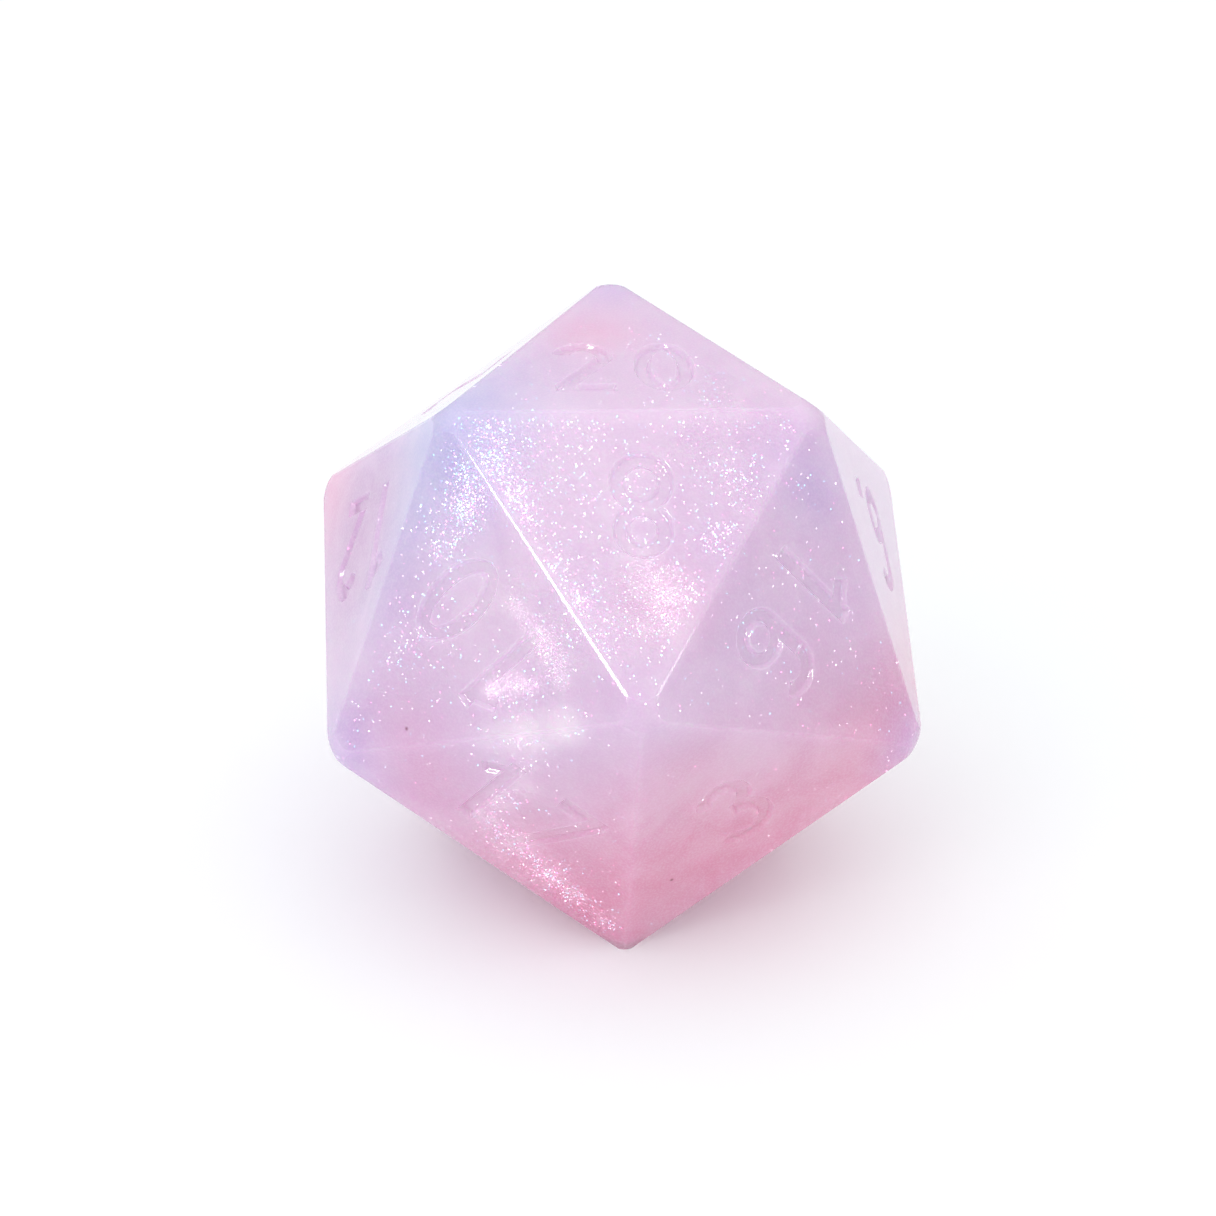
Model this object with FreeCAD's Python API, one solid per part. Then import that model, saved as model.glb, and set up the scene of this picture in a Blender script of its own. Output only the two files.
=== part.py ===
import FreeCAD, Part
import math
import os
import random

# Cast resin twenty-sided die. Millimetres, +Z up, origin at the centre of the face it rests on.
# The resin was poured in three tints. Pearl wisps and glitter flakes are cast in, and the
# numerals are bare recesses in the faces.

V = FreeCAD.Vector

# ---- driving dimensions -------------------------------------------------------------------------
ACROSS_FACES = 22.0     # from a face to the face opposite
EDGE_ROUND = 0.30       # radius along the edges
TIP_ROUND = 2.00        # radius of the corners
SHARP_TIP = 0.70        # radius of the one corner that tumbling hardly touched
DIGIT_DEPTH = 0.22      # how deep the numerals sit below their face
DIGIT_HEIGHT = 4.25
STROKE = 0.56           # width of a numeral's stroke
BOWL = 1.13             # outer radius of a numeral's round end
DIGIT_PITCH = 3.15      # between the centres of a number's two digits
PITCH_AFTER_1 = 3.55    # the same, when the first digit is the thin 1
BASELINE = 1.80         # foot of the numerals above the edge they stand on
NUDGE = {"10": -0.58, "8": -0.30, "6": -0.55, "9": -0.55}   # how far right of their face's middle
TEEN_NUDGE = -0.30      # the same for the other numbers that start with 1
FLAKE_ACROSS = 0.24     # glitter flake, corner to corner
FLAKE_THICK = 0.05
FLAKES_PER_TINT = 36
FLAKE_SHALLOW = 0.75    # nearest a flake lies below a face
FLAKE_DEEP = 2.6
FLAKE_CLEAR = 0.35      # flakes keep this far from where two pours meet

PHI = (1 + math.sqrt(5)) / 2
EDGE = ACROSS_FACES * math.sqrt(3) / PHI ** 2
IN_RADIUS = ACROSS_FACES / 2
TIP_ANGLE = math.atan(PHI)          # between an edge and the line from a corner to the centre
HALF_BEND = math.radians(41.81 / 2)                       # half the turn from one face to the next
RIDGE_DROP = EDGE_ROUND * (1 / math.cos(HALF_BEND) - 1)   # what the rounding takes off an edge's ridge

os.makedirs("parts", exist_ok=True)


# ---- the twelve corners and twenty numbered faces ----------------------------------------------
def corners():
    """Corners by letter. Each small letter is opposite its capital."""
    wide = EDGE / math.sqrt(3)
    far = wide * PHI
    low = IN_RADIUS * PHI ** -3
    spots = {}
    for name, radius, height, turn in (
        ("T", wide, IN_RADIUS, 90), ("A", wide, IN_RADIUS, 210), ("D", wide, IN_RADIUS, 330),
        ("B", far, low, 270), ("L", far, low, 150), ("R", far, low, 30),
    ):
        x = radius * math.cos(math.radians(turn))
        y = radius * math.sin(math.radians(turn))
        spots[name] = V(x, y, height)
        spots[name.lower()] = V(-x, -y, -height)
    for name in spots:
        spots[name].z += IN_RADIUS
    return spots


CORNER = corners()
CENTRE = V(0, 0, IN_RADIUS)
ABOVE = {"20": "TAD", "8": "BAD", "10": "CAB", "16": "EBD", "12": "CAL",
         "6": "EDR", "17": "BCt", "3": "BEt", "2": "LAT", "14": "RTD"}
CORNER["C"] = CORNER["r"]
CORNER["E"] = CORNER["l"]
OPPOSITE = {"T": "t", "t": "T", "A": "a", "D": "d", "B": "b", "L": "E", "R": "C", "C": "R", "E": "L"}


def numbered_faces():
    """Number, corner it points up to and the other two. Opposite numbers add up to 21."""
    faces = []
    for number, names in ABOVE.items():
        faces.append((number, [CORNER[n] for n in names]))
        across = str(21 - int(number))
        faces.append((across, [CORNER[OPPOSITE[n]] for n in names]))
    return faces


def outward(points):
    """Unit normal of a face, pointing out of the die."""
    normal = (points[1] - points[0]).cross(points[2] - points[0]).normalize()
    middle = (points[0] + points[1] + points[2]) * (1 / 3)
    return normal if normal.dot(middle - CENTRE) > 0 else normal * -1


def face_frame(points):
    """A face's foot, where y is 0, and the directions across, up and out of it."""
    foot = (points[1] + points[2]) * 0.5
    up = (points[0] - foot).normalize()
    out = outward(points)
    return foot, up.cross(out), up, out


# ---- blank die with rounded edges and corners ---------------------------------------------------
def blank():
    shells = []
    for _, points in numbered_faces():
        shells.append(Part.Face(Part.makePolygon(points + [points[0]])))
    solid = Part.makeSolid(Part.makeShell(shells))
    if solid.Volume < 0:
        solid.reverse()
    solid = solid.makeFillet(EDGE_ROUND, solid.Edges)
    return solid.cut(Part.makeCompound(tip_cutters()))


def tip_cutters():
    """What comes off each corner, so that a ball end is left on it."""
    reach = (CORNER["T"] - CENTRE).Length
    cutters = []
    for name in "TADBLRtadblr":
        radius = SHARP_TIP if name == "t" else TIP_ROUND
        centre_at = reach - (radius + RIDGE_DROP) / math.sin(TIP_ANGLE)
        start = centre_at + radius * math.sin(TIP_ANGLE)
        axis = (CORNER[name] - CENTRE).normalize()
        block = Part.makeCylinder(radius * 2, radius * 2, CENTRE + axis * start, axis)
        ball = Part.makeSphere(radius, CENTRE + axis * centre_at)
        cutters.append(block.cut(ball))
    return cutters


# ---- numerals, drawn flat: x across, y up from the baseline -------------------------------------
def bar(x0, y0, x1, y1):
    """Straight stroke with square ends."""
    along = V(x1 - x0, y1 - y0, 0)
    side = V(-along.y, along.x, 0).normalize() * (STROKE / 2)
    a, b = V(x0, y0, 0), V(x1, y1, 0)
    return Part.Face(Part.makePolygon([a + side, a - side, b - side, b + side, a + side]))


def bend(x, y, radius, start, end):
    """Round stroke about x, y. radius is its outer one, and the angles run anticlockwise."""
    up = V(0, 0, 1)
    outer = Part.makeCircle(radius, V(x, y, 0), up, start, end)
    inner = Part.makeCircle(radius - STROKE, V(x, y, 0), up, start, end)
    ends = [Part.makeLine(outer.valueAt(outer.FirstParameter), inner.valueAt(inner.FirstParameter)),
            Part.makeLine(outer.valueAt(outer.LastParameter), inner.valueAt(inner.LastParameter))]
    return Part.Face(Part.Wire(Part.__sortEdges__([outer, inner] + ends)))


def ring(x, y, radius):
    up = V(0, 0, 1)
    outer = Part.Wire(Part.makeCircle(radius, V(x, y, 0), up))
    inner = Part.Wire(Part.makeCircle(radius - STROKE, V(x, y, 0), up))
    return Part.Face(outer).cut(Part.Face(inner))


def oval(x, y, across, tall):
    """Upright oval stroke about x, y. across and tall are its outer half sizes."""
    rims = []
    for inset in (0, STROKE):
        top = V(x, y + tall - inset, 0)
        side = V(x + across - inset, y, 0)
        rims.append(Part.Wire(Part.Ellipse(top, side, V(x, y, 0)).toShape()))
    return Part.Face(rims[0]).cut(Part.Face(rims[1]))


def strokes(digit):
    top = DIGIT_HEIGHT
    half = STROKE / 2
    mid = BOWL - half                       # middle of a stroke on the bowl's side
    low_bowl = 1.27                         # the larger, lower bowl of 3, 5 and 8
    high_bowl = (top + STROKE - 2 * low_bowl) / 2
    if digit == "0":
        return [oval(0, top / 2, BOWL, top / 2)]
    if digit == "1":
        return [bar(0.35, 0, 0.35, top), bar(0.35, top - 0.45, -0.62, top - 1.12)]
    if digit == "2":
        return [bend(0, top - BOWL, BOWL, -25, 165), bar(0.80, top - 1.42, -0.86, 0.42),
                bar(-BOWL, half, BOWL, half)]
    if digit == "3":
        return [bend(0, top - high_bowl, high_bowl, -90, 155), bend(0, low_bowl, low_bowl, -155, 90)]
    if digit == "4":
        return [bar(0.42, 0, 0.42, top), bar(0.25, top - 0.1, -0.95, 1.35), bar(-1.15, 1.2, 1.05, 1.2)]
    if digit == "5":
        return [bar(-0.80, top - half, 0.95, top - half), bar(-0.72, top, -0.80, 1.95),
                bend(0, low_bowl, low_bowl, -150, 140)]
    if digit == "6":
        return [ring(0, BOWL, BOWL), bar(-mid, BOWL, -mid, top - BOWL), bend(0, top - BOWL, BOWL, 35, 180)]
    if digit == "7":
        return [bar(-0.95, top - half, 1.02, top - half), bar(0.80, top - 0.25, -0.95, 0)]
    if digit == "8":
        return [ring(0, top - 1.12, 1.12), ring(0, 1.20, 1.20)]
    turned = strokes("6")
    for stroke in turned:
        stroke.rotate(V(0, top / 2, 0), V(0, 0, 1), 180)
    return turned


def numeral(number):
    """Flat outline of a whole number. 6 and 9 get a square dot after them."""
    outline = []
    teen = len(number) == 2 and number[0] == "1"
    pitch = PITCH_AFTER_1 if teen else DIGIT_PITCH
    nudge = NUDGE.get(number, TEEN_NUDGE if teen else 0)
    for place, digit in enumerate(number):
        pieces = strokes(digit)
        figure = pieces[0].multiFuse(pieces[1:]).removeSplitter() if pieces[1:] else pieces[0]
        figure.translate(V((place - (len(number) - 1) / 2) * pitch + nudge, 0, 0))
        outline.append(figure)
    if number in ("6", "9"):
        outline.append(Part.makePlane(0.75, 0.70, V(1.30, 0, 0)))
    return outline


def recess(number, points):
    """Solids that cut a number into its face."""
    foot, across, up, out = face_frame(points)
    foot += up * BASELINE
    place = FreeCAD.Matrix(across.x, up.x, out.x, foot.x, across.y, up.y, out.y, foot.y,
                           across.z, up.z, out.z, foot.z, 0, 0, 0, 1)
    solids = []
    for figure in numeral(number):
        for flat in figure.Faces:
            cutter = flat.extrude(V(0, 0, DIGIT_DEPTH + 0.5))
            cutter.translate(V(0, 0, -DIGIT_DEPTH))
            cutter.Placement = FreeCAD.Placement(place).multiply(cutter.Placement)
            solids.append(cutter)
    return solids


# ---- where two pours met: gently folded sheets ---------------------------------------------------
def pink_level(x, y):
    return 6.9 - 0.34 * y + 0.75 * math.sin(x / 2.6 + 0.8) * math.cos(y / 3.4) + 0.05 * x


def blue_level(x, y):
    return 17.9 + 0.50 * x - 0.22 * y + 0.6 * math.sin(y / 2.9 + x / 5.5)


def under(level):
    """Solid of all that lies below a folded sheet."""
    reach, step = 15.0, 2.5
    count = int(2 * reach / step) + 1
    grid = []
    for i in range(count):
        x = -reach + i * step
        grid.append([V(x, -reach + j * step, level(x, -reach + j * step)) for j in range(count)])
    sheet = Part.BSplineSurface()
    sheet.interpolate(grid)
    return sheet.toShape().extrude(V(0, 0, -3 * ACROSS_FACES))


# ---- pearl pigment wisps -------------------------------------------------------------------------
# Each is a curl of pigment under one face: x and y on the face, depth and radius, point by point.
WISPS = {
    "pearl_wisp_crown": ("8", [(0.3, 6.2, 0.95, 0.08), (-0.5, 6.7, 1.05, 0.26), (-1.1, 7.2, 1.1, 0.34),
                               (-1.5, 7.9, 1.05, 0.24), (-1.4, 8.7, 0.95, 0.08)]),
    "pearl_wisp_shoulder": ("10", [(-0.2, 2.2, 0.95, 0.08), (-1.2, 1.8, 1.1, 0.28), (-2.2, 1.7, 1.2, 0.36),
                                   (-3.2, 1.8, 1.1, 0.28), (-4.2, 2.1, 0.95, 0.08)]),
    "pearl_wisp_tail": ("10", [(-2.2, 5.5, 0.95, 0.08), (-2.5, 4.8, 1.1, 0.26), (-2.8, 4.1, 1.15, 0.32),
                               (-3.3, 3.6, 1.1, 0.22), (-3.9, 3.3, 0.95, 0.08)]),
    "pearl_wisp_foot": ("17", [(-1.5, 9.5, 0.95, 0.08), (-2.2, 8.3, 1.1, 0.30), (-2.6, 7.0, 1.2, 0.38),
                               (-2.0, 5.7, 1.1, 0.30), (-1.0, 4.6, 0.95, 0.08)]),
}


def wisp_points(number, line):
    foot, across, up, out = face_frame(dict(numbered_faces())[number])
    return [(foot + across * x + up * y - out * depth, radius) for x, y, depth, radius in line]


def wisp(points):
    sections = []
    for i, (spot, radius) in enumerate(points):
        before = points[max(i - 1, 0)][0]
        after = points[min(i + 1, len(points) - 1)][0]
        sections.append(Part.Wire(Part.makeCircle(radius, spot, after - before)))
    return Part.makeLoft(sections, True, False)


# ---- glitter flakes ------------------------------------------------------------------------------
def clear_of_all(spot):
    """True if a flake here stays inside one pour and off every wisp."""
    if abs(spot.z - pink_level(spot.x, spot.y)) < FLAKE_CLEAR * 1.5:
        return False
    if abs(spot.z - blue_level(spot.x, spot.y)) < FLAKE_CLEAR * 1.5:
        return False
    for number, line in WISPS.values():
        for middle, radius in wisp_points(number, line):
            if (spot - middle).Length < radius + 0.75:
                return False
    return True


def flake(spot, facing, turn):
    """Thin six-sided plate."""
    rim = []
    for k in range(7):
        angle = turn + math.radians(60 * k)
        rim.append(V(math.cos(angle), math.sin(angle), 0) * (FLAKE_ACROSS / 2))
    plate = Part.Face(Part.makePolygon(rim)).extrude(V(0, 0, FLAKE_THICK))
    plate.Placement = FreeCAD.Placement(spot, FreeCAD.Rotation(V(0, 0, 1), facing))
    return plate


def flakes(seed, crowded):
    """One tint of glitter. It lies thickest under the faces named in crowded."""
    dice = random.Random(seed)
    faces = dict(numbered_faces())
    names = crowded * 3 + sorted(faces)
    spots = []
    while len(spots) < FLAKES_PER_TINT:
        points = faces[dice.choice(names)]
        weights = [dice.uniform(0.12, 1) for _ in points]
        total = sum(weights)
        spot = V(0, 0, 0)
        for weight, point in zip(weights, points):
            spot += point * (weight / total)
        spot -= outward(points) * dice.uniform(FLAKE_SHALLOW, FLAKE_DEEP)
        far_off = all((spot - other).Length > 2 * FLAKE_ACROSS for other in spots + TAKEN)
        if clear_of_all(spot) and far_off:
            spots.append(spot)
    TAKEN.extend(spots)
    plates = []
    for spot in spots:
        facing = V(dice.uniform(-1, 1), dice.uniform(-1, 1), dice.uniform(-1, 1))
        plates.append(flake(spot, facing, dice.uniform(0, 1)))
    return Part.makeCompound(plates)


# ---- cut the numerals, part the pours, set the inclusions in ------------------------------------
TAKEN = []
INSIDE = {name: wisp(wisp_points(number, line)) for name, (number, line) in WISPS.items()}
INSIDE["silver_flakes"] = flakes(11, ["10", "8", "17"])
INSIDE["aqua_flakes"] = flakes(23, ["10", "8", "20"])
INSIDE["pink_flakes"] = flakes(37, ["17", "10", "16"])

die = blank()
cutters = []
for number, points in numbered_faces():
    cutters.extend(recess(number, points))
die = die.cut(Part.makeCompound(cutters))

below_pink = under(pink_level)
below_blue = under(blue_level)
pours = {
    "pink_resin": die.common(below_pink),
    "lilac_resin": die.cut(below_pink).common(below_blue),
    "blue_resin": die.cut(below_blue),
}
everything_inside = Part.makeCompound(list(INSIDE.values()))
for name in pours:
    pours[name] = pours[name].cut(everything_inside)

for name, shape in list(pours.items()) + list(INSIDE.items()):
    print(name, len(shape.Solids), round(shape.Volume, 3), shape.isValid())
    shape.exportStep("parts/" + name + ".step")
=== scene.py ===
import math
import random

import bmesh
import bpy
import numpy as np
from mathutils import Matrix, Vector
from mathutils.geometry import delaunay_2d_cdt


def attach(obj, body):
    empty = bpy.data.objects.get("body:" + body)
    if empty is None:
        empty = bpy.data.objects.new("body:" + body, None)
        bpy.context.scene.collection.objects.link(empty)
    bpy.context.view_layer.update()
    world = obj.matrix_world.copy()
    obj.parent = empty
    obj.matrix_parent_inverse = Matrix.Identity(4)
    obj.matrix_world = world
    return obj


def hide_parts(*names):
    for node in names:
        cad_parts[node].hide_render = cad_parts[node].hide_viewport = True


# A cast resin twenty-sided die, 22 mm from face to face. Metres, +Z up. The origin is the middle
# of the face it rests on.

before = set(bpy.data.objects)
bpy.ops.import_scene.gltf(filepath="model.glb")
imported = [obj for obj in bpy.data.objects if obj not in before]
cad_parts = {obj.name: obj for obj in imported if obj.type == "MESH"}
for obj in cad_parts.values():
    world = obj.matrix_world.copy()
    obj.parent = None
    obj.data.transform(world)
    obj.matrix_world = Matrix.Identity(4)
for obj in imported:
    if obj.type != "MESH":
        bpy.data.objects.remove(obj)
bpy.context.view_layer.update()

# ---- die body ------------------------------------------------------------------------------------
# One solid casting of hard clear-bodied resin, tinted by what was stirred into it. The faces are
# flat and polished, the edges broken just enough not to chip, and the corners tumbled a little
# rounder. The numerals came off the mould as shallow grooves with soft walls, and were never inked.
ACROSS = 0.0220
PHI = (1 + math.sqrt(5)) / 2
EDGE = ACROSS * math.sqrt(3) / PHI ** 2
INNER = ACROSS / 2
CENTRE = Vector((0, 0, INNER))
EDGE_ROUND = 0.00030
TIP_ROUND = 0.00200
SHARP_TIP = 0.00070     # the corner that stands lowest in front was hardly tumbled at all


def corner_points(inner):
    """The twelve corners about the die's centre, for a distance from centre to face."""
    edge = EDGE * inner / INNER
    wide = edge / math.sqrt(3)
    spots = {}
    for name, radius, height, turn in (
        ("T", wide, inner, 90), ("A", wide, inner, 210), ("D", wide, inner, 330),
        ("B", wide * PHI, inner * PHI ** -3, 270), ("L", wide * PHI, inner * PHI ** -3, 150),
        ("R", wide * PHI, inner * PHI ** -3, 30),
    ):
        angle = math.radians(turn)
        spot = Vector((radius * math.cos(angle), radius * math.sin(angle), height))
        spots[name] = spot + CENTRE
        spots[name.lower()] = CENTRE - spot
    spots["C"] = spots["r"]
    spots["E"] = spots["l"]
    return spots


CORNER = corner_points(INNER)
UPPER = {20: "TAD", 8: "BAD", 10: "CAB", 16: "EBD", 12: "CAL",
         6: "EDR", 17: "BCt", 3: "BEt", 2: "LAT", 14: "RTD"}
OPPOSITE = {"T": "t", "t": "T", "A": "a", "D": "d", "B": "b", "L": "E", "R": "C", "C": "R", "E": "L"}


class Face:
    """A numbered face: its foot, where y is 0, and the directions across, up and out of it."""

    def __init__(self, number, names):
        top, left, right = (CORNER[n] for n in names)
        self.number = number
        self.foot = (left + right) / 2
        self.up = (top - self.foot).normalized()
        self.out = (left - top).cross(right - top).normalized()
        if self.out.dot(top - CENTRE) < 0:
            self.out.negate()
        self.across = self.up.cross(self.out)

    def at(self, x, y, depth=0.0):
        return self.foot + self.across * x + self.up * y - self.out * depth


FACES = {}
for number, names in UPPER.items():
    FACES[number] = Face(number, names)
    FACES[21 - number] = Face(21 - number, [OPPOSITE[n] for n in names])


def new_piece(name, mesh):
    piece = bpy.data.objects.new(name, mesh)
    bpy.context.scene.collection.objects.link(piece)
    return piece


def baked(piece, name):
    """The piece's mesh with its modifiers applied."""
    graph = bpy.context.evaluated_depsgraph_get()
    mesh = bpy.data.meshes.new_from_object(piece.evaluated_get(graph))
    mesh.name = name
    return mesh


def blank(inner, edge_round, steps):
    """Twenty-sided body with rounded edges."""
    bm = bmesh.new()
    spots = corner_points(inner)
    for name in "TADBLRtadblr":
        bm.verts.new(spots[name])
    bmesh.ops.convex_hull(bm, input=bm.verts)
    bmesh.ops.recalc_face_normals(bm, faces=bm.faces)
    back = edge_round * math.tan(HALF_BEND)
    bmesh.ops.bevel(bm, geom=bm.edges[:], offset=back, offset_type="OFFSET", segments=steps,
                    profile=0.5, affect="EDGES", clamp_overlap=True)
    return bm


LEAN = math.atan(PHI)    # between an edge and the line from its corner to the centre
REACH = (CORNER["T"] - CENTRE).length
HALF_BEND = math.radians(41.81 / 2)                       # half the turn from one face to the next
RIDGE_DROP = EDGE_ROUND * (1 / math.cos(HALF_BEND) - 1)   # what the rounding takes off an edge's ridge
TIPS = {name: TIP_ROUND for name in "TADBLRadblr"}
TIPS["t"] = SHARP_TIP
EDGE_STEPS = 6       # facets across an edge's rounding
BALL_STEPS = 12      # facets down a corner's ball and round it
BALL_SIDES = 48


def tip_centre(name):
    sunk = (TIPS[name] + RIDGE_DROP) / math.sin(LEAN)
    return CENTRE + (CORNER[name] - CENTRE).normalized() * (REACH - sunk)


def tip_tool(radius):
    """What is taken off one corner: a disc with a hollow ball end, pointing up from its corner."""
    start = radius * math.sin(LEAN)
    bm = bmesh.new()
    wide = 2 * radius
    profile = [Vector((wide, 0, start)), Vector((wide, 0, start + radius)), Vector((0, 0, start + radius))]
    for i in range(BALL_STEPS + 1):
        angle = math.pi / 2 - i / BALL_STEPS * (math.pi / 2 - LEAN)
        profile.append(Vector((radius * math.cos(angle), 0, radius * math.sin(angle))))
    ring = [bm.verts.new(p) for p in profile]
    edges = [bm.edges.new((ring[i], ring[(i + 1) % len(ring)])) for i in range(len(ring))]
    bmesh.ops.spin(bm, geom=edges + ring, axis=(0, 0, 1), cent=(0, 0, 0), angle=math.tau, steps=BALL_SIDES,
                   use_merge=True, use_duplicate=False)
    bmesh.ops.remove_doubles(bm, verts=bm.verts, dist=1e-8)
    bmesh.ops.recalc_face_normals(bm, faces=bm.faces)
    return bm


STROKE = 0.00056         # width of a numeral's stroke
HEIGHT = 0.00425         # height of a numeral
BOWL = 0.00113           # outer radius of a numeral's round end
PITCH = 0.00315          # between the centres of a number's two digits
PITCH_AFTER_1 = 0.00355  # the same, when the first digit is the thin 1
NUDGE = {10: -0.00058, 8: -0.00030, 6: -0.00055, 9: -0.00055}   # how far right of the face's middle
TEEN_NUDGE = -0.00030    # the same for the other numbers that start with 1
BASELINE = 0.00180       # foot of the numerals above the edge they stand on
DEPTH = 0.00022          # of the groove
WALL = 0.00017           # width of the groove's soft wall
DOT_PLACE = 0.001675     # the dot after 6 and 9, right of the face's middle
DOT_WIDE = 0.00075
DOT_TALL = 0.00070
GRID = 0.00005           # spacing of the mesh in and around a groove
GRID_HALF_WIDE = 0.0036  # the mesh that the grooves are cut in reaches this far to each side
GRID_TALL = 0.0050
GRID_FOOT = 0.0003       # and starts this far below the numerals


def digit_strokes(digit):
    """Strokes of a digit: ("bar", ends), ("arc", middle, radius, angles), ("oval", middle, half sizes)."""
    half = STROKE / 2
    mid = BOWL - half
    top = HEIGHT - half
    mm = 0.001
    low = 1.27 * mm - half
    high = (HEIGHT - STROKE - 2 * low) / 2
    upper, lower = HEIGHT - BOWL, BOWL
    if digit == "0":
        return [("oval", 0, HEIGHT / 2, BOWL, HEIGHT / 2)]
    if digit == "1":
        return [("bar", 0.35 * mm, 0, 0.35 * mm, HEIGHT),
                ("bar", 0.35 * mm, HEIGHT - 0.45 * mm, -0.62 * mm, HEIGHT - 1.12 * mm)]
    if digit == "2":
        return [("arc", 0, upper, mid, -25, 165),
                ("bar", 0.80 * mm, HEIGHT - 1.42 * mm, -0.86 * mm, 0.42 * mm),
                ("bar", -BOWL, half, BOWL, half)]
    if digit == "3":
        return [("arc", 0, top - high, high, -90, 155), ("arc", 0, half + low, low, -155, 90)]
    if digit == "4":
        return [("bar", 0.42 * mm, 0, 0.42 * mm, HEIGHT),
                ("bar", 0.25 * mm, HEIGHT - 0.1 * mm, -0.95 * mm, 1.35 * mm),
                ("bar", -1.15 * mm, 1.2 * mm, 1.05 * mm, 1.2 * mm)]
    if digit == "5":
        return [("bar", -0.80 * mm, top, 0.95 * mm, top),
                ("bar", -0.72 * mm, HEIGHT, -0.80 * mm, 1.95 * mm),
                ("arc", 0, half + low, low, -150, 140)]
    if digit == "6":
        return [("arc", 0, lower, mid, 0, 360), ("bar", -mid, lower, -mid, upper),
                ("arc", 0, upper, mid, 35, 180)]
    if digit == "7":
        return [("bar", -0.95 * mm, top, 1.02 * mm, top),
                ("bar", 0.80 * mm, HEIGHT - 0.25 * mm, -0.95 * mm, 0)]
    if digit == "8":
        narrow, wide = 1.12 * mm - half, 1.20 * mm - half
        return [("arc", 0, top - narrow, narrow, 0, 360), ("arc", 0, half + wide, wide, 0, 360)]
    turned = []    # 9 is 6 turned upside down
    for kind, x, y, *rest in digit_strokes("6"):
        if kind == "bar":
            turned.append((kind, -x, HEIGHT - y, -rest[0], HEIGHT - rest[1]))
        else:
            turned.append((kind, -x, HEIGHT - y, rest[0], rest[1] + 180, rest[2] + 180))
    return turned


def from_oval(x, y, across, tall):
    """Distance from points to an oval about the origin, negative inside."""
    reach = np.hypot(x / across, y / tall)
    return reach * (reach - 1) / np.maximum(np.hypot(x / across ** 2, y / tall ** 2), 1e-9)


def from_stroke(x, y, stroke):
    """Distance from points to a stroke's outline, negative inside."""
    half = STROKE / 2
    if stroke[0] == "oval":
        _, cx, cy, across, tall = stroke
        outer = from_oval(x - cx, y - cy, across, tall)
        inner = from_oval(x - cx, y - cy, across - STROKE, tall - STROKE)
        return np.maximum(outer, -inner)
    if stroke[0] == "bar":
        _, x0, y0, x1, y1 = stroke
        length = math.hypot(x1 - x0, y1 - y0)
        ux, uy = (x1 - x0) / length, (y1 - y0) / length
        along = abs((x - (x0 + x1) / 2) * ux + (y - (y0 + y1) / 2) * uy) - length / 2
        side = abs((x - x0) * uy - (y - y0) * ux) - half
    else:
        _, cx, cy, radius, start, end = stroke
        middle = math.radians((start + end) / 2)
        spread = math.radians((end - start) / 2)
        away = np.hypot(x - cx, y - cy)
        turn = np.arctan2(y - cy, x - cx) - middle
        turn = abs((turn + math.pi) % math.tau - math.pi)
        side = abs(away - radius) - half
        if end - start == 360:
            return side
        along = (turn - spread) * radius
    outside = np.hypot(np.maximum(along, 0), np.maximum(side, 0))
    return outside + np.minimum(np.maximum(along, side), 0)


def from_number(number, x, y):
    """Distance from points on a face to the outline of its number. 6 and 9 have a dot after them."""
    text = str(number)
    nearest = np.full(x.shape, 1.0)
    teen = 10 <= number < 20
    pitch = PITCH_AFTER_1 if teen else PITCH
    nudge = NUDGE.get(number, TEEN_NUDGE if teen else 0)
    for place, digit in enumerate(text):
        shift = (place - (len(text) - 1) / 2) * pitch + nudge
        for stroke in digit_strokes(digit):
            nearest = np.minimum(nearest, from_stroke(x - shift, y - BASELINE, stroke))
    if number in (6, 9):
        across = abs(x - DOT_PLACE) - DOT_WIDE / 2
        up = abs(y - BASELINE - DOT_TALL / 2) - DOT_TALL / 2
        dot = np.hypot(np.maximum(across, 0), np.maximum(up, 0)) + np.minimum(np.maximum(across, up), 0)
        nearest = np.minimum(nearest, dot)
    return nearest


def groove(distance):
    """Depth of the numeral's groove, and its slope, at a distance from the outline."""
    t = np.clip((WALL / 2 - distance) / WALL, 0, 1)
    return DEPTH * t * t * (3 - 2 * t), -DEPTH / WALL * 6 * t * (1 - t)


def whole(cells):
    """Fills one-cell gaps and diagonal touches, so that the groove's border never crosses itself."""
    for _ in range(6):
        wide = np.pad(cells, 1)
        across = wide[1:-1, :-2] & wide[1:-1, 2:]
        up = wide[:-2, 1:-1] & wide[2:, 1:-1]
        cells = cells | across | up
        a, b = cells[:-1, :-1] & cells[1:, 1:], cells[:-1, 1:] & cells[1:, :-1]
        touch = (a & ~(cells[:-1, 1:] | cells[1:, :-1])) | (b & ~(cells[:-1, :-1] | cells[1:, 1:]))
        cells[:-1, :-1] |= touch
        cells[1:, :-1] |= touch
        cells[:-1, 1:] |= touch
        cells[1:, 1:] |= touch
    return cells


def within(spot, outline):
    """True if a flat point lies inside a closed outline, given as its sides."""
    inside = False
    for a, b in outline:
        if (a.y > spot.y) != (b.y > spot.y) and spot.x < a.x + (b.x - a.x) * (spot.y - a.y) / (b.y - a.y):
            inside = not inside
    return inside


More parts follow.
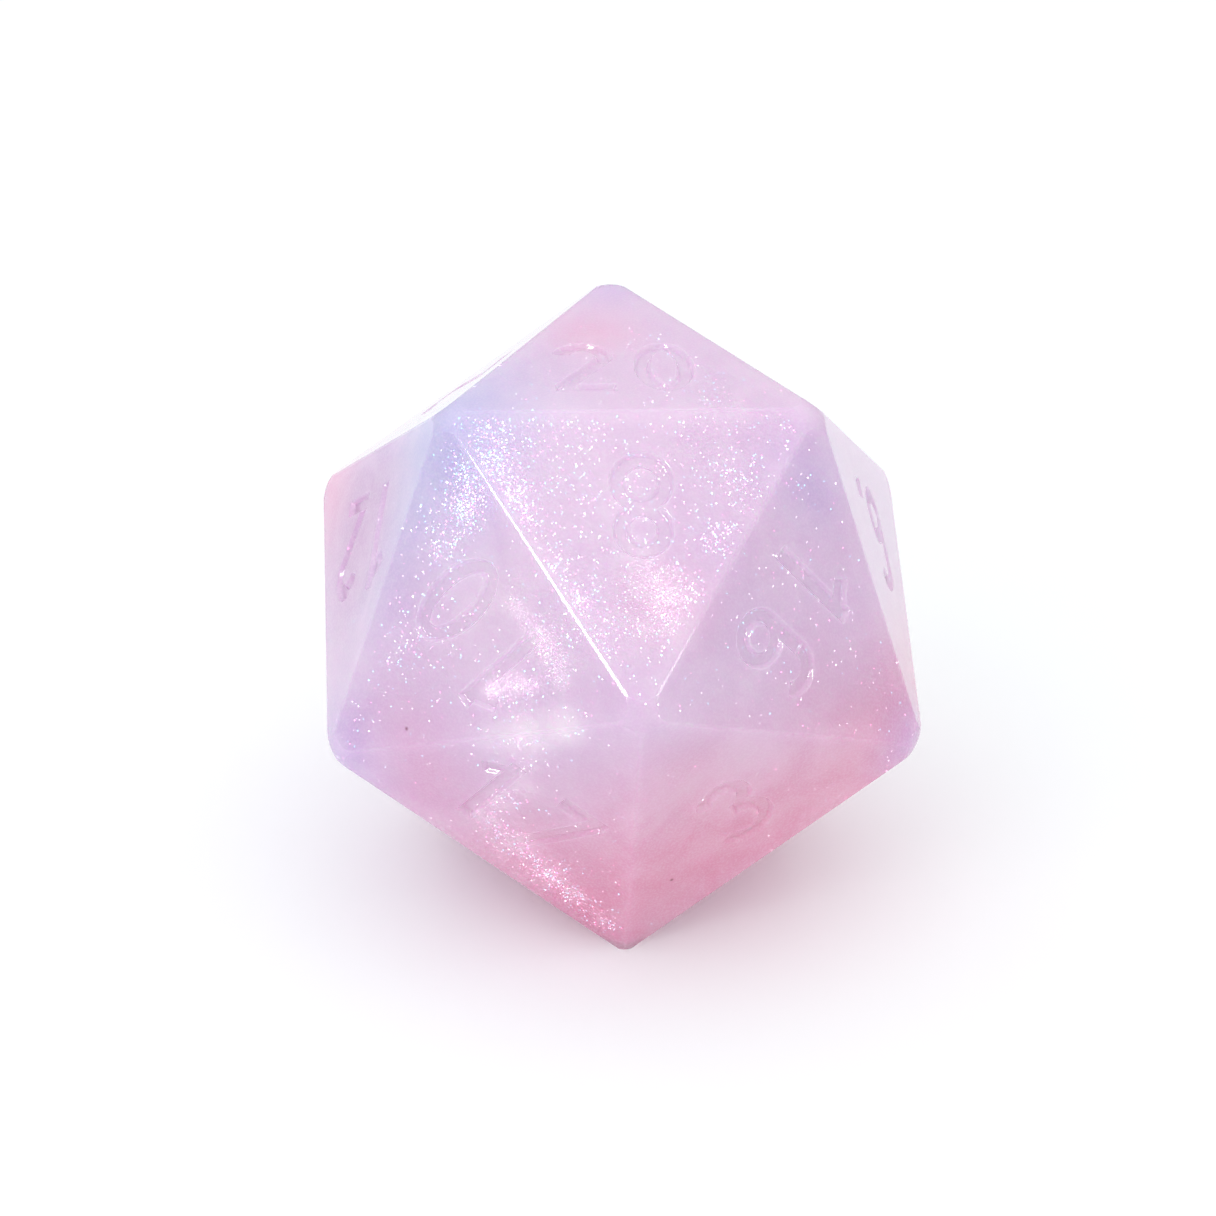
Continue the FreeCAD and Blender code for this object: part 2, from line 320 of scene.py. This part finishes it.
def carve(bm, face, polygon, normals):
    """Swaps a flat face for one with its number sunk into it, and returns the new polygons."""
    polygons = []
    columns = int(2 * GRID_HALF_WIDE / GRID)
    rows = int(GRID_TALL / GRID)
    gx, gy = np.meshgrid(np.arange(columns + 1) * GRID - columns * GRID / 2,
                         BASELINE - GRID_FOOT + np.arange(rows + 1) * GRID)
    distance = from_number(face.number, gx, gy)
    depth, slope = groove(distance)
    down_y, down_x = np.gradient(distance, GRID)
    near = distance < WALL / 2 + 1.5 * GRID
    cells = near[:-1, :-1] | near[1:, :-1] | near[:-1, 1:] | near[1:, 1:]
    cells = whole(cells)
    made = {}

    def vertex(r, c):
        if (r, c) not in made:
            v = bm.verts.new(face.at(gx[r, c], gy[r, c], depth[r, c]))
            lean = face.across * (down_x[r, c] * slope[r, c]) + face.up * (down_y[r, c] * slope[r, c])
            normals[v] = (face.out + lean).normalized()
            made[r, c] = v
        return made[r, c]

    for r, c in zip(*np.nonzero(cells)):
        corners = [vertex(r, c), vertex(r, c + 1), vertex(r + 1, c + 1), vertex(r + 1, c)]
        polygons.append(bm.faces.new(corners))
    rim = {e for v in made.values() for e in v.link_edges if len(e.link_faces) == 1}
    polygon_edges = list(polygon.edges)
    edges = polygon_edges + list(rim)
    bmesh.ops.delete(bm, geom=[polygon], context="FACES_ONLY")
    verts = list({v for e in edges for v in e.verts})
    index = {v: i for i, v in enumerate(verts)}
    spokes = [v.co - face.foot for v in verts]
    flat = [Vector((spoke.dot(face.across), spoke.dot(face.up))) * 1000 for spoke in spokes]
    pairs = [(index[e.verts[0]], index[e.verts[1]]) for e in edges]
    spots, _, triangles, origin, _, _ = delaunay_2d_cdt(flat, pairs, [], 1, 1e-7)
    outline = [(flat[a], flat[b]) for a, b in pairs[:len(polygon_edges)]]
    for triangle in triangles:
        middle = sum((spots[i] for i in triangle), Vector((0, 0))) / 3
        column = int((middle.x / 1000 - gx[0, 0]) / GRID)
        row = int((middle.y / 1000 - gy[0, 0]) / GRID)
        if 0 <= row < rows and 0 <= column < columns and cells[row, column]:
            continue
        if not within(middle, outline):
            continue
        polygons.append(bm.faces.new([verts[origin[i][0]] for i in triangle]))
    return polygons


def on_edge(spot, facing):
    """Normal of the rounded edge between the two faces that lie nearest to a direction."""
    first, second = sorted((face.out for face in FACES.values()), key=facing.dot)[-2:]
    along = first.cross(second).normalized()
    axis = (first + second) * ((INNER - EDGE_ROUND) / (1 + first.dot(second)))
    spoke = spot - CENTRE
    return (spoke - along * spoke.dot(along) - axis).normalized()


def die_mesh():
    bm = blank(INNER, EDGE_ROUND, EDGE_STEPS)
    rough = bpy.data.meshes.new("rough")
    bm.to_mesh(rough)
    bm.free()
    body = new_piece("rough_body", rough)
    tools = bmesh.new()
    for name in TIPS:
        axis = (CORNER[name] - CENTRE).normalized()
        tool = tip_tool(TIPS[name])
        place = Matrix.Translation(tip_centre(name))
        tool.transform(place @ axis.to_track_quat("Z", "Y").to_matrix().to_4x4())
        part = bpy.data.meshes.new("tool")
        tool.to_mesh(part)
        tools.from_mesh(part)
        tool.free()
        bpy.data.meshes.remove(part)
    cutter_mesh = bpy.data.meshes.new("cutters")
    tools.to_mesh(cutter_mesh)
    tools.free()
    cutter = new_piece("cutters", cutter_mesh)
    cut = body.modifiers.new("tips", "BOOLEAN")
    cut.operation = "DIFFERENCE"
    cut.solver = "EXACT"
    cut.object = cutter
    mesh = baked(body, "resin_body")
    bpy.data.objects.remove(body)
    bpy.data.objects.remove(cutter)
    bm = bmesh.new()
    bm.from_mesh(mesh)
    bmesh.ops.remove_doubles(bm, verts=bm.verts, dist=2e-7)
    normals = {}
    carved = set()
    for face in FACES.values():
        flat = [p for p in bm.faces if p.normal.dot(face.out) > 0.99999 and p.calc_area() > 1e-6]
        if len(flat) > 1:
            flat = bmesh.ops.dissolve_faces(bm, faces=flat)["region"]
        for v in flat[0].verts:
            normals[v] = face.out
        carved.update(carve(bm, face, flat[0], normals))
    bm.normal_update()
    flow = []
    for polygon in bm.faces:
        middle = polygon.calc_center_median()
        tip = min(TIPS, key=lambda name: (middle - CORNER[name]).length)
        ball = tip_centre(tip)
        rounded = abs((middle - ball).length - TIPS[tip]) < 4e-6
        for loop in polygon.loops:
            if polygon in carved:
                flow.append(normals[loop.vert])
            elif rounded:
                flow.append((loop.vert.co - ball).normalized())
            else:
                flow.append(on_edge(loop.vert.co, polygon.normal))
    bm.to_mesh(mesh)
    bm.free()
    mesh.polygons.foreach_set("use_smooth", [True] * len(mesh.polygons))
    mesh.normals_split_custom_set(flow)
    return mesh


def shade(r, g, b):
    """Linear colour from everyday 0-255 values."""
    return tuple(((v / 255 + 0.055) / 1.055) ** 2.4 for v in (r, g, b)) + (1.0,)


class Tint:
    """Builds the resin's colour in a material: three tints that ran into one another."""

    def __init__(self, material):
        material.use_nodes = True
        self.nodes, self.links = material.node_tree.nodes, material.node_tree.links
        self.where = self.nodes.new("ShaderNodeTexCoord").outputs["Object"]

    def feed(self, socket, value):
        if isinstance(value, (int, float, tuple)):
            socket.default_value = value
        else:
            self.links.new(value, socket)

    def math(self, kind, *values):
        node = self.nodes.new("ShaderNodeMath")
        node.operation = kind
        for socket, value in zip(node.inputs, values):
            self.feed(socket, value)
        return node.outputs[0]

    def noise(self, scale, detail=3.0, distortion=0.0):
        node = self.nodes.new("ShaderNodeTexNoise")
        node.inputs["Scale"].default_value = scale
        node.inputs["Detail"].default_value = detail
        node.inputs["Distortion"].default_value = distortion
        self.links.new(self.where, node.inputs["Vector"])
        return node.outputs["Fac"]

    def ramp(self, value, start, end, low=0.0, high=1.0):
        node = self.nodes.new("ShaderNodeMapRange")
        node.interpolation_type = "SMOOTHSTEP"
        self.feed(node.inputs["Value"], value)
        for name, amount in (("From Min", start), ("From Max", end), ("To Min", low), ("To Max", high)):
            node.inputs[name].default_value = amount
        return node.outputs["Result"]

    def mix(self, share, a, b):
        node = self.nodes.new("ShaderNodeMix")
        node.data_type = "RGBA"
        for index, value in ((0, share), (6, a), (7, b)):
            self.feed(node.inputs[index], value)
        return node.outputs[2]

    def along(self, direction, start, end, wander):
        """0 to 1 between two distances along a direction from the die's centre."""
        node = self.nodes.new("ShaderNodeVectorMath")
        node.operation = "DOT_PRODUCT"
        self.links.new(self.where, node.inputs[0])
        way = Vector(direction).normalized()
        node.inputs[1].default_value = way
        drift = self.math("MULTIPLY", self.math("SUBTRACT", self.noise(150, 2.0), 0.5), wander)
        middle = CENTRE.dot(way)
        return self.ramp(self.math("ADD", node.outputs["Value"], drift), start + middle, end + middle)

    def near(self, spot, reach, strength):
        """Fades from strength at a spot to nothing at its reach."""
        gap = self.nodes.new("ShaderNodeVectorMath")
        gap.operation = "DISTANCE"
        self.links.new(self.where, gap.inputs[0])
        gap.inputs[1].default_value = spot
        return self.ramp(gap.outputs["Value"], reach, 0.0, 0.0, strength)

    def resin(self):
        colour = self.mix(self.along((0.40, -0.28, -1), 0.0006, 0.0100, 0.004), LILAC, PINK)
        colour = self.mix(self.along((-0.75, -0.15, 0.65), 0.0078, 0.0142, 0.003), colour, BLUE)
        for spot, reach, strength, tone in BLUSHES:
            colour = self.mix(self.near(spot, reach, strength), colour, tone)
        smoke = self.math("MULTIPLY", self.noise(420, 5.0, 1.2), self.noise(110, 2.0, 0.6))
        colour = self.mix(self.ramp(smoke, 0.16, 0.42, 0.0, 0.20), colour, PEARL)
        # Round each pearl curl the colour runs to pearl white: partly the powder's own colour, partly a
        # painted sheen
        glow = 0.0
        for number, line in WISPS.values():
            for x, y, spread in line:
                spot = FACES[number].at(x * 0.001, y * 0.001, 0.0004)
                glow = self.math("MAXIMUM", glow, self.near(spot, min(spread * 0.0023, 0.0016), 0.44))
        curl = self.math("MULTIPLY", glow, self.ramp(self.noise(700, 5.0, 1.5), 0.26, 0.66))
        colour = self.mix(curl, colour, PEARL)
        grain = self.ramp(self.noise(11000, 2.0), 0.35, 0.75, 0.0, 0.20)
        colour = self.mix(grain, colour, PEARL)
        for spot in SPECKS:
            colour = self.mix(self.near(spot, 0.00012, 0.9), colour, UMBER)
        return colour


LILAC = shade(226, 203, 228)
PINK = shade(231, 168, 194)
BLUE = shade(202, 202, 234)
PEARL = shade(252, 242, 250)
BLUSH = shade(240, 190, 214)
MAUVE = shade(205, 190, 228)
UMBER = shade(120, 70, 80)
BLUSHES = [   # where, how far it reaches, how strong, colour
    (FACES[8].at(-0.0010, 0.0078, 0.0006), 0.0030, 0.30, BLUSH),
    (FACES[20].at(-0.0010, 0.0072, 0.0006), 0.0032, 0.45, BLUSH),
    (FACES[8].at(0.0020, 0.0030, 0.0004), 0.0060, 0.18, PEARL),
    (FACES[12].at(0.0010, 0.0030, 0.0004), 0.0070, 0.80, shade(208, 168, 208)),
    (FACES[17].at(-0.0042, 0.0020, 0.0004), 0.0044, 0.55, shade(228, 172, 206)),
    (FACES[16].at(-0.0050, 0.0016, 0.0004), 0.0034, 0.45, MAUVE),
    (FACES[17].at(-0.0017, 0.0094, 0.0004), 0.0015, 0.60, PEARL),
    (FACES[17].at(-0.0025, 0.0077, 0.0004), 0.0017, 0.60, PEARL),
    (CORNER["L"], 0.0066, 0.80, shade(240, 184, 212)),
    (CORNER["E"], 0.0036, 0.65, MAUVE),
    (CORNER["T"], 0.0034, 0.65, MAUVE),
    (CORNER["C"], 0.0044, 0.65, MAUVE),
    (CORNER["t"], 0.0050, 0.45, shade(214, 140, 175)),
    (FACES[10].at(-0.0010, 0.0030, 0.0004), 0.0050, 0.18, PEARL),
]
WISPS = {   # face, then x, y and spread (mm) along a curl of pearl powder
    "pearl_wisp_crown": (8, [(-0.1, 6.2, 0.7), (-0.7, 7.0, 0.8), (-1.2, 7.8, 0.8), (-1.0, 8.7, 0.7)]),
    "pearl_wisp_shoulder": (10, [(-0.4, 2.1, 0.35), (-1.3, 1.8, 0.45), (-2.3, 1.7, 0.6), (-3.1, 1.8, 0.6),
                                 (-4.0, 2.1, 0.4)]),
    "pearl_wisp_tail": (10, [(-2.3, 5.2, 0.3), (-2.5, 4.6, 0.45), (-2.9, 3.8, 0.45), (-3.4, 3.1, 0.3)]),
    "pearl_wisp_foot": (17, [(-1.5, 9.5, 0.5), (-2.2, 8.0, 0.7), (-3.0, 6.5, 0.7), (-1.5, 6.5, 0.4),
                             (-0.9, 5.2, 0.6), (-1.1, 3.6, 0.5), (-1.0, 2.3, 0.4), (0.7, 1.7, 0.5),
                             (2.6, 1.5, 0.5), (4.0, 1.3, 0.4), (5.6, 0.9, 0.3)]),
}
SPECKS = [Vector((0.0017, -0.0092, 0.0039)), Vector((-0.0087, -0.0083, 0.0104))]

resin = bpy.data.materials.new("clear_resin")
tint = Tint(resin)
nodes, links = resin.node_tree.nodes, resin.node_tree.links
glass = nodes["Principled BSDF"]
output = nodes["Material Output"]
links.new(tint.resin(), glass.inputs["Base Color"])
glass.inputs["Transmission Weight"].default_value = 0.55
glass.inputs["IOR"].default_value = 1.50
glass.inputs["Roughness"].default_value = 0.04
glass.inputs["Subsurface Weight"].default_value = 1.0
glass.inputs["Subsurface Radius"].default_value = (1.0, 0.7, 0.9)
glass.inputs["Subsurface Scale"].default_value = 0.0007
see_through = nodes.new("ShaderNodeBsdfTransparent")
path = nodes.new("ShaderNodeLightPath")
either = nodes.new("ShaderNodeMath")
either.operation = "MAXIMUM"
links.new(path.outputs["Is Shadow Ray"], either.inputs[0])
links.new(path.outputs["Is Diffuse Ray"], either.inputs[1])
mix = nodes.new("ShaderNodeMixShader")
links.new(either.outputs[0], mix.inputs["Fac"])
links.new(glass.outputs["BSDF"], mix.inputs[1])
links.new(see_through.outputs["BSDF"], mix.inputs[2])
links.new(mix.outputs["Shader"], output.inputs["Surface"])

body = new_piece("resin_body", die_mesh())
body.data.materials.clear()
body.data.materials.append(resin)
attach(body, "root")
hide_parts("lilac_resin", "pink_resin", "blue_resin")

# ---- milky heart ---------------------------------------------------------------------------------
# The tinted resin as the eye meets it below the clear surface: lilac all through, pink where the
# second pour lies along the foot, bluish towards the top left. The wet tints ran into one another,
# so no border shows. It is one soft-edged body a little under the faces.
HEART_UNDER = 0.00052    # how far the milk seems to start below a face
HEART_ROUND = 0.0005
TIP_FILL = 0.00030       # it fills the sharp lowest corner this much further out
TIP_FILL_REACH = 0.0024
bm = blank(INNER - HEART_UNDER, HEART_ROUND, 5)
outward = (CORNER["t"] - CENTRE).normalized()
for v in bm.verts:
    v.co += outward * TIP_FILL * max(0, 1 - (v.co - CORNER["t"]).length / TIP_FILL_REACH)
heart_mesh = bpy.data.meshes.new("milky_heart")
bm.to_mesh(heart_mesh)
bm.free()
heart_mesh.polygons.foreach_set("use_smooth", [True] * len(heart_mesh.polygons))
milk = bpy.data.materials.new("milky_resin")
tint = Tint(milk)
skin = milk.node_tree.nodes["Principled BSDF"]
milk.node_tree.links.new(tint.resin(), skin.inputs["Base Color"])
skin.inputs["Subsurface Weight"].default_value = 1.0
skin.inputs["Subsurface Radius"].default_value = (1.0, 0.75, 0.95)
skin.inputs["Subsurface Scale"].default_value = 0.0020
skin.inputs["Roughness"].default_value = 0.6
skin.inputs["Specular IOR Level"].default_value = 0.0
heart = new_piece("milky_heart", heart_mesh)
heart_mesh.materials.append(milk)
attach(heart, "root")

# ---- glitter -------------------------------------------------------------------------------------
# Fine cut film, stirred in with the pigment and hanging in the top of the resin, thickest where the
# pours folded over.
EVEN = {8: 5.4, 10: 2.8, 16: 2.2, 17: 1.6, 20: 1.4, 3: 0.8, 12: 0.8}   # flakes a square millimetre
ELSEWHERE = 1.6
FACE_AREA = 92          # square millimetres
FACE_TALL = 0.866 * EDGE
FLAKE_LEAST = 0.000040
FLAKE_EXTRA = 0.000045  # the largest flake is this much wider than the least
FLAKE_THICK = 0.000012
FLAKE_LEAN = 0.35       # how far from flat the flakes lie, as a slope
SHALLOW, DEEP = 0.00003, 0.00028
CLEAR = 0.00022         # nearest that a flake comes to an edge
DRIFTS = [  # face, x and y on it (mm), spread (mm), flakes
    (8, 5.4, 0.7, 0.6, 70), (8, 3.0, 0.7, 1.6, 80), (8, 5.3, 2.1, 0.4, 80), (8, 4.7, 3.3, 0.4, 90),
    (8, 4.1, 4.4, 0.4, 45), (8, 3.1, 6.5, 0.4, 50), (8, 2.4, 7.8, 0.35, 60), (8, 1.5, 9.3, 0.45, 30),
    (8, 1.8, 3.6, 1.8, 70), (8, -3.9, 3.0, 0.7, 60), (8, -3.1, 5.2, 0.5, 60), (8, -1.9, 7.4, 0.6, 60),
    (8, -0.7, 8.8, 0.6, 30), (10, 5.2, 0.7, 0.4, 35), (10, 4.2, 0.9, 0.4, 70), (10, 3.7, 1.5, 0.45, 100),
    (10, 3.0, 3.3, 0.5, 65), (10, 4.4, 2.8, 0.6, 25), (10, 1.8, 6.6, 0.7, 30), (10, -2.2, 0.8, 0.7, 40),
    (10, -3.0, 4.4, 0.8, 30), (10, 0.6, 7.0, 0.8, 25), (16, 1.5, 0.8, 2.4, 30), (17, -2.4, 7.4, 0.6, 35),
    (17, -0.8, 4.2, 0.7, 35), (17, -0.4, 1.9, 0.5, 40), (17, 0.9, 1.7, 0.5, 50), (17, 2.0, 1.5, 0.45, 50),
    (17, 3.1, 1.4, 0.45, 55), (17, 4.2, 1.2, 0.4, 40), (17, 5.7, 0.85, 0.4, 50), (20, 3.4, 0.5, 1.6, 60),
    (20, -1.0, 0.5, 2.6, 50), (20, 0.5, 5.6, 1.2, 25), (3, 4.2, 0.8, 1.3, 20), (12, -1.0, 6.0, 1.8, 15),
]


def glitter_spots(dice):
    """Face, x and y of every flake."""
    spots = []
    for number in sorted(FACES):
        tries = 2 * int(EVEN.get(number, ELSEWHERE) * FACE_AREA)    # half of them miss the triangle
        for _ in range(tries):
            spots.append((number, dice.uniform(-0.5, 0.5) * EDGE, dice.uniform(0, 1) * FACE_TALL))
    for number, x, y, spread, count in DRIFTS:
        for _ in range(count):
            spots.append((number, dice.gauss(x, spread) * 0.001, dice.gauss(y, spread) * 0.001))
    return spots


def room_about(x, y):
    """How much room a spot on a face has to the nearest edge, or a little more."""
    return min(y, (FACE_TALL - y - abs(x) * math.sqrt(3)) / 2)


def flake_mesh(name, share, seed):
    dice = random.Random(seed)
    bm = bmesh.new()
    for number, x, y in glitter_spots(dice):
        if dice.random() > share or room_about(x, y) < CLEAR:
            continue
        under = dice.uniform(SHALLOW, DEEP)
        if from_number(number, np.array([x]), np.array([y]))[0] < WALL:
            under = DEPTH + under / 2
        face = FACES[number]
        spot = face.at(x, y, under)
        across = FLAKE_LEAST + FLAKE_EXTRA * dice.random() ** 2.5    # most are small
        lean = Vector((dice.gauss(0, FLAKE_LEAN), dice.gauss(0, FLAKE_LEAN), 1)).normalized()
        facing = (face.across * lean.x + face.up * lean.y + face.out * lean.z).normalized()
        side = facing.orthogonal().normalized()
        other = facing.cross(side)
        turn = dice.uniform(0, math.tau)
        rims = []
        for level in (-FLAKE_THICK / 2, FLAKE_THICK / 2):
            rim = []
            for k in range(6):
                angle = turn + k * math.tau / 6
                spoke = side * math.cos(angle) + other * math.sin(angle)
                rim.append(bm.verts.new(spot + spoke * across / 2 + facing * level))
            rims.append(rim)
        bm.faces.new(rims[0][::-1])
        bm.faces.new(rims[1])
        for k in range(6):
            bm.faces.new((rims[0][k], rims[0][(k + 1) % 6], rims[1][(k + 1) % 6], rims[1][k]))
    mesh = bpy.data.meshes.new(name)
    bm.to_mesh(mesh)
    bm.free()
    return mesh


def film(name, tint):
    material = bpy.data.materials.new(name)
    material.use_nodes = True
    surface = material.node_tree.nodes["Principled BSDF"]
    surface.inputs["Base Color"].default_value = tint
    surface.inputs["Metallic"].default_value = 1.0
    surface.inputs["Roughness"].default_value = 0.25
    # painted glint: the flakes glow of themselves, in place of lamps mirrored in such small flakes
    surface.inputs["Emission Color"].default_value = tint
    surface.inputs["Emission Strength"].default_value = 2.6    # stands for the glint of so small a mirror
    return material


for name, share, seed, tint, slot in (
    ("silver_flakes", 0.50, 5, shade(255, 255, 255), "silver_glitter"),
    ("aqua_flakes", 0.40, 6, shade(160, 238, 246), "aqua_glitter"),
    ("pink_flakes", 0.35, 7, shade(255, 168, 212), "pink_glitter"),
):
    flakes = new_piece(name + "_fine", flake_mesh(name + "_fine", share, seed))
    flakes.data.materials.append(film(name, tint))
    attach(flakes, "root")
    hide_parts(name)

# ---- pearl wisps ---------------------------------------------------------------------------------
# Curls of pearl powder that never mixed in, each a thin drift of mica far finer than the glitter.
# They hang just under the faces, and their soft shine is painted on as a faint glow. One lies below the 8,
# two beside the 1 of the 10, and one runs down the lower left face.
POWDER = 1000        # grains in each curl
GRAIN = 0.000050
POWDER_SHALLOW, POWDER_DEEP = 0.00008, 0.00042
POWDER_CLEAR = 0.00030
EIGHT_SIDES = ((0, 2, 4), (2, 1, 4), (1, 3, 4), (3, 0, 4), (2, 0, 5), (1, 2, 5), (3, 1, 5), (0, 3, 5))


def wisp_mesh(name, number, line, dice):
    bm = bmesh.new()
    face = FACES[number]
    for _ in range(POWDER):
        way = dice.uniform(0, len(line) - 1.001)
        start, end, t = line[int(way)], line[int(way) + 1], way % 1
        spread = start[2] + (end[2] - start[2]) * t
        x = start[0] + (end[0] - start[0]) * t + dice.gauss(0, spread * 0.55)
        y = start[1] + (end[1] - start[1]) * t + dice.gauss(0, spread * 0.55)
        x, y = x * 0.001, y * 0.001
        under = dice.uniform(POWDER_SHALLOW, POWDER_DEEP)
        if from_number(number, np.array([x]), np.array([y]))[0] < WALL:
            under = DEPTH + under / 2
        if room_about(x, y) < POWDER_CLEAR:
            continue
        spot = face.at(x, y, under)
        axes = [face.across, face.up, face.out]
        turn = Matrix.Rotation(dice.uniform(0, math.tau), 3, face.out)
        across = GRAIN * dice.uniform(0.6, 1.2)
        poles = [bm.verts.new(spot + (turn @ axis) * across / 2 * side * (0.4 if axis is face.out else 1))
                 for axis in axes for side in (1, -1)]
        for a, b, c in EIGHT_SIDES:
            bm.faces.new((poles[a], poles[b], poles[c]))
    bmesh.ops.recalc_face_normals(bm, faces=bm.faces)
    mesh = bpy.data.meshes.new(name)
    bm.to_mesh(mesh)
    bm.free()
    return mesh


pearl = bpy.data.materials.new("pearl_powder")
pearl.use_nodes = True
surface = pearl.node_tree.nodes["Principled BSDF"]
surface.inputs["Base Color"].default_value = PEARL
surface.inputs["Metallic"].default_value = 0.8
surface.inputs["Roughness"].default_value = 0.35
# painted sheen: a faint glow on the powder stands in for its soft pearly shine
surface.inputs["Emission Color"].default_value = shade(255, 240, 246)
surface.inputs["Emission Strength"].default_value = 0.42
for seed, (name, (number, line)) in enumerate(WISPS.items()):
    curl = new_piece(name + "_powder", wisp_mesh(name + "_powder", number, line, random.Random(seed + 40)))
    curl.data.materials.append(pearl)
    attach(curl, "root")
    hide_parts(name)

# ---- stage ---------------------------------------------------------------------------------------
# Pale paper under a bright even room that is a little darker near the ground, with one small soft
# lamp high on the left. Two narrow lamps serve only for the line of light along two of the edges.
floor_mesh = bpy.data.meshes.new("floor")
floor_mesh.from_pydata([(-3, -3, 0), (3, -3, 0), (3, 3, 0), (-3, 3, 0)], [], [(0, 1, 2, 3)])
floor = new_piece("floor", floor_mesh)
paper = bpy.data.materials.new("paper")
paper.use_nodes = True
surface = paper.node_tree.nodes["Principled BSDF"]
surface.inputs["Base Color"].default_value = (0.95, 0.975, 0.985, 1)
surface.inputs["Roughness"].default_value = 0.9
surface.inputs["Specular IOR Level"].default_value = 0.0
floor_mesh.materials.append(paper)

world = bpy.data.worlds.new("studio")
bpy.context.scene.world = world
world.use_nodes = True
sky = world.node_tree
level = sky.nodes.new("ShaderNodeSeparateXYZ")
sky.links.new(sky.nodes.new("ShaderNodeTexCoord").outputs["Generated"], level.inputs[0])
fade = sky.nodes.new("ShaderNodeMapRange")
sky.links.new(level.outputs["Z"], fade.inputs["Value"])
for name, amount in (("From Min", 0.0), ("From Max", 0.95), ("To Min", 0.34), ("To Max", 1.32)):
    fade.inputs[name].default_value = amount
sky.nodes["Background"].inputs["Color"].default_value = (1, 1, 1, 1)
sky.links.new(fade.outputs["Result"], sky.nodes["Background"].inputs["Strength"])

LAMP_AWAY = 0.30
softbox = bpy.data.lights.new("softbox", "AREA")
softbox.shape = "SQUARE"
softbox.size = 0.16
softbox.energy = 0.10
lamp = bpy.data.objects.new("softbox", softbox)
bpy.context.scene.collection.objects.link(lamp)
lamp.location = CENTRE + Vector((-0.522, -0.569, 0.634)).normalized() * LAMP_AWAY
lamp.rotation_euler = (lamp.location - CENTRE).to_track_quat("Z", "Y").to_euler()

azimuth, elevation, roll = math.radians(-4.55), math.radians(28.18), math.radians(1.45)
EYE_AWAY = 12.165 * EDGE
level_back = Vector((math.sin(azimuth), -math.cos(azimuth), 0))
back = level_back * math.cos(elevation) + Vector((0, 0, math.sin(elevation)))
eye = CENTRE + back * EYE_AWAY


def edge_light(name, start, end, sides, along, length, width, power):
    """Narrow lamp that an edge's rounding mirrors, its middle at a share of the way along the edge."""
    spot = CORNER[start].lerp(CORNER[end], along)
    normal = (FACES[sides[0]].out + FACES[sides[1]].out).normalized()
    view = (eye - spot).normalized()
    aim = (2 * normal.dot(view) * normal - view).normalized()
    edge = (CORNER[end] - CORNER[start]).normalized()
    flat = (edge - aim * edge.dot(aim)).normalized()
    light = bpy.data.lights.new(name, "AREA")
    light.shape = "ELLIPSE"
    light.size, light.size_y, light.energy = length, width, power
    holder = bpy.data.objects.new(name, light)
    bpy.context.scene.collection.objects.link(holder)
    turn = Matrix((flat, aim.cross(flat), aim)).transposed()
    holder.matrix_world = Matrix.Translation(spot + aim * LAMP_AWAY) @ turn.to_4x4()
    holder.visible_diffuse = False


edge_light("glint", "A", "B", (8, 10), 0.845, 0.056, 0.26, 0.80)
edge_light("glint_right", "D", "B", (8, 16), 0.875, 0.014, 0.16, 0.030)

camera_data = bpy.data.cameras.new("camera")
camera_data.sensor_width = 36
camera_data.lens = 129.8
camera_data.shift_x = -0.0073
camera_data.shift_y = 0.0023
camera = bpy.data.objects.new("camera", camera_data)
bpy.context.scene.collection.objects.link(camera)
right = Vector((math.cos(azimuth), math.sin(azimuth), 0))
up = back.cross(right)
tilted_right = right * math.cos(roll) + up * math.sin(roll)
tilted_up = up * math.cos(roll) - right * math.sin(roll)
turn = Matrix((tilted_right, tilted_up, back)).transposed()
camera.matrix_world = Matrix.Translation(eye) @ turn.to_4x4()
bpy.context.scene.camera = camera
bpy.context.scene.view_settings.view_transform = "Standard"
